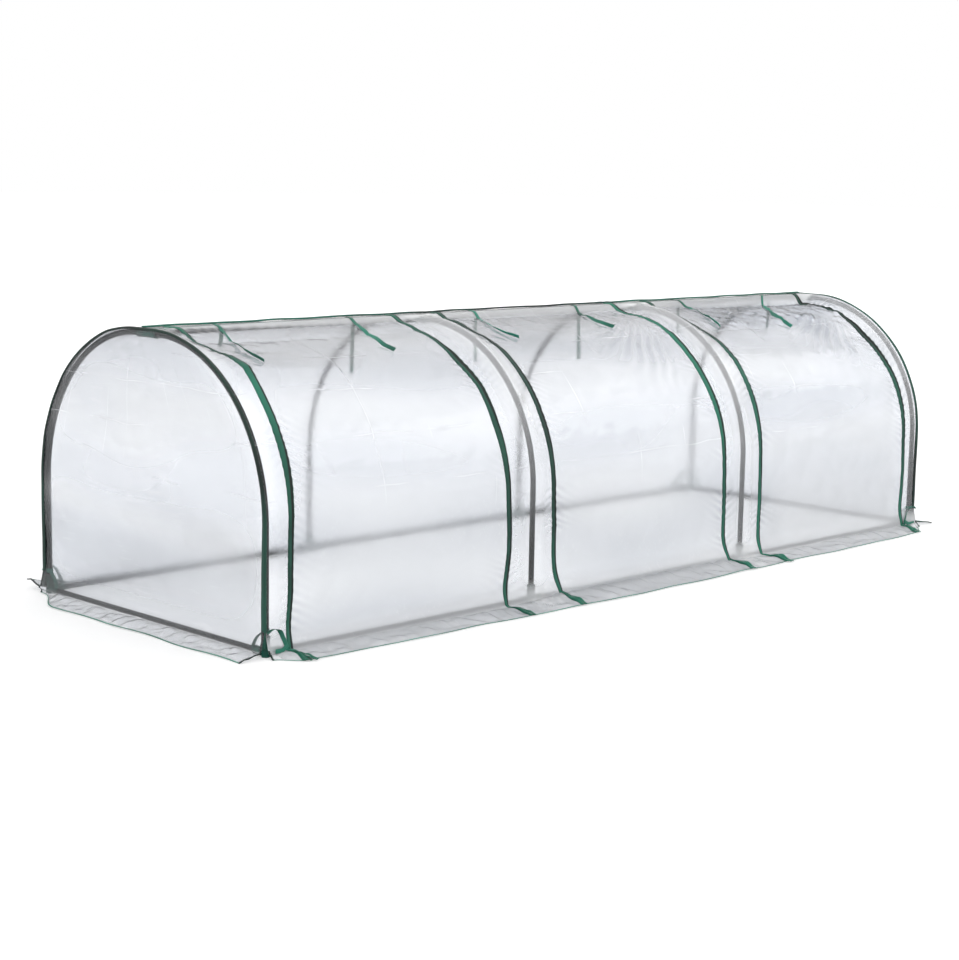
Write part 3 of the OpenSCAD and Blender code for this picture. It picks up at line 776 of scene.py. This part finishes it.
def endTape(side, word):
    # a tape folded over the edge of an end wall: an L section carried round the outline of the tunnel,
    # one leg on the roof and one, that widens towards the ground, on the wall
    t, f = binding["thick"], filmT
    # places along X from the wall's inside, and above the outline of the film, partly in legs of the L
    alongX = np.array([0, 0, 0, f + t * 0.6, f + t, f + t, f + t, f + t * 0.8, f, f, f, 0, 0])
    inRoof = np.array([-1, -0.5, 0, 0, 0, 0, 0, 0, 0, 0, 0, -0.5, -1])
    above = np.array([0.7, 1, 1, 1, 0.5, 0, 0, -0.4, 0, 0, 0, 0, 0]) * t
    inLegs = np.array([0, 0, 0, 0, 0, -0.5, -1, -1, -1, -0.5, 0, 0, 0])
    s = np.concatenate([-np.arange(wallEnd - 0.004, 0, -0.007), [0], np.arange(0.005, wallEnd, 0.007)])
    before, behind = binding["roof"][word]
    roof = before + (behind - before) * smoothStep(-0.06, 0.06, s)
    high, low = binding["wallHigh"], binding["wallLow"]
    leg = high + (low - high) * smoothStep(0.45, 1.0, np.abs(s))
    out, up, sideways, upright = (value[:, None] for value in coverLine(s))
    wave = 0.0006 * waves(210 + side, s, 0 * s, 0.08, 0.3)[:, None]
    lift = f + above[None, :] + inLegs[None, :] * leg[:, None] + wave
    x = side * (endX + alongX[None, :] + inRoof[None, :] * roof[:, None])
    place = stacked(x, out + lift * sideways, up + lift * upright)
    # painted light and shade along the end tape
    fadeAndShade = np.interp(s, binding["shadeAt"], binding["fadeAndShade"][word])
    return place, sectionUv(np.linspace(0.02, 0.05, len(above)), s), fadeAndShade


def hemTape(surface, along, width):
    # a narrow tape folded over the free edge of a skirt
    a, h = tapeSection(width, binding["hemThick"], 10)
    return surface(along[:, None], skirtEnd + a[None, :], hemLow + h[None, :]), sectionUv(a + 0.02, along)


def cutTape(surface, edge, unit):
    # the same tape, thicker, down the cut end of a skirt from the wall to the hem
    a, h = tapeSection(binding["hemEnd"], binding["cutThick"], 10)
    s = np.linspace(wallEnd - 0.004, skirtEnd + 0.002, 24)
    return surface(edge + unit * a[None, :], s[:, None], hemLow + h[None, :]), sectionUv(a + 0.02, s)


ridgeGrid = ridgeTape()
# painted light and shade along the ridge tape
ridgeLitShade = np.interp(ridgeGrid[0][:, 0, 0], binding["ridgeAt"], binding["ridgeLitShade"])
ridgePiece = addPiece("ridge_seam_tape", [ridgeGrid], bindGreen, closed=True, fadeAndShade=[ridgeLitShade])
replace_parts(ridgePiece, "ridge_binding")
endTapes = {}
for side, word in sides:
    cuts = [cutTape(surface, side * (endX - 0.002), 1.0) for surface in (frontPoint, rearPoint)]
    cuts += [cutTape(endSurface(side), edge, 1 / wallOut) for edge in (-1.0, 1.0)]
    place, uv, fadeAndShade = endTape(side, word)
    endTapes[word] = addPiece(f"{word}_end_seam_tape", [(place, uv), *cuts], bindGreen,
                              closed=True, fadeAndShade=[fadeAndShade, *(np.zeros(len(cut[0])) for cut in cuts)])
    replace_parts(endTapes[word], f"{word}_end_binding")


def hemPiece(name, surface, line, width):
    return addPiece(name, [hemTape(surface, line, width)], hemGreen, closed=True)


def steps(low, high, gap):
    return np.linspace(low, high, max(3, int((high - low) / gap)))


hemSpans = [doorSpan(i, hemGap) for i in range(3)] + [stripSpan(i, hemGap) for i in range(4)]
for film, span in zip(doorFilms + stripFilms, hemSpans):
    hemPiece(film.name.replace("film", "hem"), frontPoint, steps(*span, 0.006),
                         binding["hemFront"])
hemRear = hemPiece("rear_hem", rearPoint, steps(-endX, endX, 0.007), binding["hemFront"])
for side, word in sides:
    hemPiece(f"{word}_end_hem", endSurface(side), np.linspace(-1, 1, 160),
                             binding["hemEnd"])
print("bindings and hems made")


def smoothLine(points, count):
    # a rounded line through given places: cubic pieces whose slopes follow the neighbours
    p = np.array(points, float)
    slope = np.gradient(p, axis=0)
    t = np.linspace(0, len(p) - 1, count)
    i = np.clip(t.astype(int), 0, len(p) - 2)
    u = (t - i)[:, None]
    return ((1 + 2 * u) * (1 - u) ** 2 * p[i] + u * (1 - u) ** 2 * slope[i] + u * u * (3 - 2 * u) * p[i + 1]
            + u * u * (u - 1) * slope[i + 1])


def distances(line):
    # how far along a line each of its places is
    return np.concatenate([[0], np.cumsum(np.linalg.norm(np.diff(line, axis=0), axis=1))])


# each door tie lies over the film along places given as x and the distance from the ridge
ties = {
    "width": 0.012, "thick": 0.001, "twist": 1.1,
    # the inner tapes go from the seam over the ridge tube and hang in front of it: places by Y and Z
    "over": ((0.0255, 0.8036), (0.012, 0.8022), (0.0, 0.8014), (-0.0085, 0.7985), (-0.0128, 0.790),
             (-0.0138, 0.775)),
    "paths": (((-1.2355, -0.017), (-1.262, 0.05), (-1.282, 0.135), (-1.312, 0.24), (-1.315, 0.315)),
              ((-0.755, -0.017), (-0.776, 0.06), (-0.788, 0.13), (-0.803, 0.21), (-0.795, 0.26)),
              ((-0.250, -0.017), (-0.276, 0.06), (-0.301, 0.13), (-0.303, 0.20), (-0.280, 0.244)),
              ((0.222, -0.017), (0.183, 0.05), (0.160, 0.12), (0.155, 0.18), (0.174, 0.22)),
              ((0.727, -0.017), (0.732, 0.06), (0.722, 0.13), (0.700, 0.195), (0.679, 0.257)),
              ((1.2355, -0.017), (1.158, 0.05), (1.096, 0.125), (1.048, 0.21), (1.052, 0.282))),
    "hang": (0.06, 0.16, 0.155, 0.175, 0.11, 0.12),  # how far below the top each inner tape hangs
}
tieA, tieH = tapeSection(ties["width"], ties["thick"], 12)
tieMid = tieH - ties["thick"] / 2


def bowTape(line, faces):
    # a flat tape carried along a line in space, its width squared up to the line
    tangent = np.gradient(line, axis=0)
    tangent /= np.linalg.norm(tangent, axis=1)[:, None]
    wide = faces - np.sum(faces * tangent, axis=1)[:, None] * tangent
    wide /= np.linalg.norm(wide, axis=1)[:, None]
    normal = np.cross(tangent, wide)
    along = distances(line)
    place = line[:, None] + tieA[None, :, None] * wide[:, None] + tieMid[None, :, None] * normal[:, None]
    return place, sectionUv(tieA, along), float(along[-1])


tiePieces, tieLengths = [], []
for i, path in enumerate(ties["paths"]):
    line = smoothLine(path, 70)
    x, s = line[:, 0], line[:, 1]
    t = np.linspace(0, 1, 70)
    # the tape turns up on its edge towards its loose end
    turn = (ties["twist"] * (1 if i % 2 else -1) * smoothStep(0.15, 1.0, t))[:, None]
    ripple = np.clip(1 + waves(230 + i, s, 0 * s, 0.07, 0.2, 4), 0, None)
    off = 0.0003 + 0.0022 * np.sin(math.pi * t) ** 2 * ripple
    aside = tieA[None, :] * np.cos(turn) - tieMid[None, :] * np.sin(turn)
    high = off[:, None] + ties["width"] / 2 * np.abs(np.sin(turn)) + ties["thick"] / 2
    high = high + tieA[None, :] * np.sin(turn) + tieMid[None, :] * np.cos(turn)
    place = frontPoint(x[:, None] + aside, s[:, None], filmT + high)
    outer = addPiece(f"door_tie_{i + 1}_outside", [(place, sectionUv(tieA, s))], tapeGreen,
                     closed=True)
    outerLength = float(distances(line)[-1])
    lastY, lastZ = ties["over"][-1]
    low = np.linspace(lastZ, topZ - ties["hang"][i], 6)[1:]
    line = smoothLine([*ties["over"], *((lastY, z) for z in low)], 60)
    t = np.linspace(0, 1, 60)
    line = stacked(path[0][0] + 0.004 * np.sin(4.5 * t + i) * t, line[:, 0], line[:, 1])
    turn = -(0.35 + 0.2 * math.sin(i * 2.3)) * np.sqrt(t)  # it turns a little about its own length
    place, uv, innerLength = bowTape(line, stacked(np.cos(turn), np.sin(turn), 0 * turn))
    inner = addPiece(f"door_tie_{i + 1}_inside", [(place, uv)], tapeGreen, closed=True)
    for piece in (outer, inner):
        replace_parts(piece, "door_ties")
    tiePieces.append((outer, inner))
    tieLengths.append((outerLength, innerLength))

# A corner tie is a band round the leg and loops. The loops on the front or rear film go by places along
# the wall, past the foot of the wall, and off the film. The loop on the end wall goes by places along it,
# outwards and up. After each place comes the way that the tape's width faces.
bows = {
    "bandZ": 0.066, "bandOff": 0.0012, "bandTurns": 1.06,
    "front": (((-0.011, -0.048, 0.004), (0, 1, 0)), ((0.004, -0.057, 0.0085), (0, 1, 0.1)),
              ((0.022, -0.055, 0.009), (0.1, 1, 0.2)), ((0.036, -0.044, 0.007), (0.8, 0.6, 0.4)),
              ((0.054, -0.012, 0.003), (1, 0.1, 0.4)), ((0.062, 0.008, 0.003), (1, 0.1, 0.2)),
              ((0.070, 0.040, 0.003), (1, 0, 0)), ((0.078, 0.085, 0.003), (1, 0, 0))),
    "back": (((0.059, -0.012, 0.0055), (-0.45, 0, 1)), ((0.036, 0.000, 0.005), (-0.45, 0, 1)),
             ((0.008, 0.013, 0.005), (-0.45, 0, 1))),
    "end": (((0.010, 0.002, 0.064), (0, 1, 0)), ((0.030, 0.004, 0.048), (0, 1, 0)),
            ((0.042, 0.005, 0.029), (0, 1, 0)), ((0.044, 0.005, 0.019), (0, 1, 0)),
            ((0.038, 0.005, 0.011), (0, 1, 0)), ((0.020, 0.004, 0.005), (0, 1, 0))),
}
for legX, sy in [(x, y) for x in (hoopX[0], hoopX[3]) for y in (-1, 1)]:
    sx = 1 if legX < 0 else -1
    foot = np.array([legX, sy * tunnel["legY"], 0.0])
    ringR = tunnel["tubeR"] + bows["bandOff"]
    a = np.linspace(0, 2 * math.pi * bows["bandTurns"], 40)
    bandZ = bows["bandZ"] + bows["bandOff"] * a / math.pi
    band = foot + stacked(ringR * np.cos(a), ringR * np.sin(a), bandZ)
    made = [bowTape(band, np.broadcast_to([0.0, 0.0, 1.0], band.shape))]
    inX, inY, upZ = np.array([sx, 0, 0.0]), np.array([0, -sy, 0.0]), np.array([0, 0, 1.0])
    surface = frontPoint if sy < 0 else rearPoint
    for key, axes in (("front", (inX, -inY, upZ)), ("back", (inX, -inY, upZ)), ("end", (inY, -inX, upZ))):
        line = smoothLine([p for p, _ in bows[key]], 48)
        if key == "end":
            line = foot + line @ np.array(axes)
        else:
            line = surface(legX + sx * line[:, 0], wallEnd + line[:, 1], filmT + line[:, 2])
        made.append(bowTape(line, smoothLine([f for _, f in bows[key]], 48) @ np.array(axes)))
    word = ("front" if sy < 0 else "rear") + ("_left" if sx > 0 else "_right")
    piece = addPiece(f"corner_tie_{word}", [(p, uv) for p, uv, _ in made], tapeGreen,
                     closed=True)
    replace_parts(piece, "corner_ties")
print("ties made")

# each sheet gets the thickness of the film as it is seen
for film in [*doorFilms, *stripFilms, rearFilm, *endFilms.values()]:
    skin = film.modifiers.new("skin", "SOLIDIFY")
    skin.thickness = filmSkin
    skin.offset = 0

# floor, light and camera
stage = {"reach": 60.0, "paper": "#dcdcdc", "mirrored": "#808080",  # the paper is darker in reflections
         "glowFrom": (-1.0, 0, 0), "glow": (0.36, 0.68), "glowAt": (0.6, 9.0),  # lamps fall off with distance
         "glowPerFace": 0.088, "skyBehind": 1.3}
floor = bpy.data.objects.new("floor", bpy.data.meshes.new("floor"))
square = ((-1, -1), (1, -1), (1, 1), (-1, 1))
floor.data.from_pydata([(x * stage["reach"], y * stage["reach"], 0.0) for x, y in square], [], [(0, 1, 2, 3)])
bpy.context.scene.collection.objects.link(floor)
floor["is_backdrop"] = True
floorPaint, add = newMaterial("paperFloorMatt")  # matt white paper: pale, with the soft shadow of the part
path = add("LightPath").outputs
mirrored = add("Math", {0: path["Glossy Depth"], 1: 1.0}, operation="MINIMUM")
seenToo = add("Math", {0: path["Is Camera Ray"], 1: path["Is Transmission Ray"]}, operation="ADD",
              use_clamp=True)
spot = add("TexCoord").outputs
far = add("VectorMath", {0: spot["Object"], 1: stage["glowFrom"]}, operation="DISTANCE")
fadeOut = add("MapRange", {"Value": far, "From Min": stage["glowAt"][0], "From Max": stage["glowAt"][1],
                           "To Min": stage["glow"][0], "To Max": stage["glow"][1]})
# each face of film in front keeps some light back, so the paper behind it is brighter
facesPassed = add("Math", {0: path["Transmission Depth"], 1: stage["glowPerFace"], 2: fadeOut},
                  operation="MULTIPLY_ADD")
glow = add("Math", {0: seenToo, 1: facesPassed}, operation="MULTIPLY")
paperTone = add("Mix", {"Factor": mirrored, "A": stage["paper"], "B": stage["mirrored"]}, data_type="RGBA")
paper = add("BsdfDiffuse", {"Color": paperTone})
white = add("Emission", {"Color": (1, 1, 1, 1), "Strength": glow})
both = add("AddShader", {0: paper, 1: white})
add("OutputMaterial", {"Surface": both})
floor.data.materials.append(floorPaint)

world = bpy.data.worlds.new("studio")
bpy.context.scene.world = world
add = nodeAdder(world)
path = add("LightPath").outputs
# the studio is darker in reflections than in what it lights, most of all in those behind the film
inside = add("MapRange", {"Value": path["Transmission Depth"], "To Min": -0.25, "To Max": -0.8})
lit = add("Math", {0: path["Is Glossy Ray"], 1: inside, 2: 1.0}, operation="MULTIPLY_ADD")
direct = add("Math", {0: path["Is Transmission Ray"], 1: path["Glossy Depth"]}, operation="SUBTRACT",
             use_clamp=True)
behind = add("Math", {0: direct, 1: stage["skyBehind"]}, operation="MULTIPLY")
seen = add("Math", {0: path["Is Camera Ray"], 1: behind}, operation="MAXIMUM")
strength = add("Math", {0: lit, 1: seen}, operation="MAXIMUM")
sky = add("Background", {"Color": (1, 1, 1, 1), "Strength": strength})
add("OutputWorld", {"Surface": sky})


def pose(right, up, back, at):
    # where a lamp or a camera stands, and which ways its right, its top and its back face
    return Matrix([*zip(right, up, back, at), (0, 0, 0, 1)])


lamps = {
    "key": {"at": (-2.6, -4.2, 4.6), "size": (6.0, 2.0), "power": 40},
    "back": {"at": (-3.6, 4.6, 3.2), "size": (5.0, 1.6), "power": 28},
    "side": {"at": (5.2, -3.0, 3.8), "size": (6.0, 2.0), "power": 28},
}
lampAim = np.array([0, 0, 0.4])
for name, lamp in lamps.items():
    light = bpy.data.lights.new(name, "AREA")
    light.shape, light.size, light.size_y, light.energy = "RECTANGLE", *lamp["size"], lamp["power"]
    lampObject = bpy.data.objects.new(name, light)
    bpy.context.scene.collection.objects.link(lampObject)
    place = np.array(lamp["at"])
    away = place - lampAim
    away = away / np.linalg.norm(away)
    right = np.cross([0, 0, 1], away)
    right = right / np.linalg.norm(right)
    up = np.cross(away, right)
    lampObject.matrix_world = pose(right, up, away, place)

# the photograph's viewpoint, fitted to the feet and ridge of the frame; the image is 959 x 960
view = {
    "at": (-4.5366, -4.3495, 1.2454),
    "right": (0.710736, -0.703236, 0.017709),
    "down": (-0.097942, -0.123853, -0.987455),
    "ahead": (0.696607, 0.700085, -0.156903),
    "focal": 1968.2,   # in pixels
    "imageSide": 960,
}
camera = bpy.data.cameras.new("camera")
camera.sensor_width = 36
camera.lens = view["focal"] * camera.sensor_width / view["imageSide"]
cameraObject = bpy.data.objects.new("camera", camera)
bpy.context.scene.collection.objects.link(cameraObject)
cameraObject.matrix_world = pose(view["right"], -np.array(view["down"]), -np.array(view["ahead"]), view["at"])
bpy.context.scene.camera = cameraObject
bpy.context.scene.view_settings.view_transform = "Standard"
print("stage, light and camera set")

low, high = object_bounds()
print("visual box", [round(v, 4) for v in (*low, *high)], "CAD box",
      [round(v, 4) for v in (*cadLow, *cadHigh)])
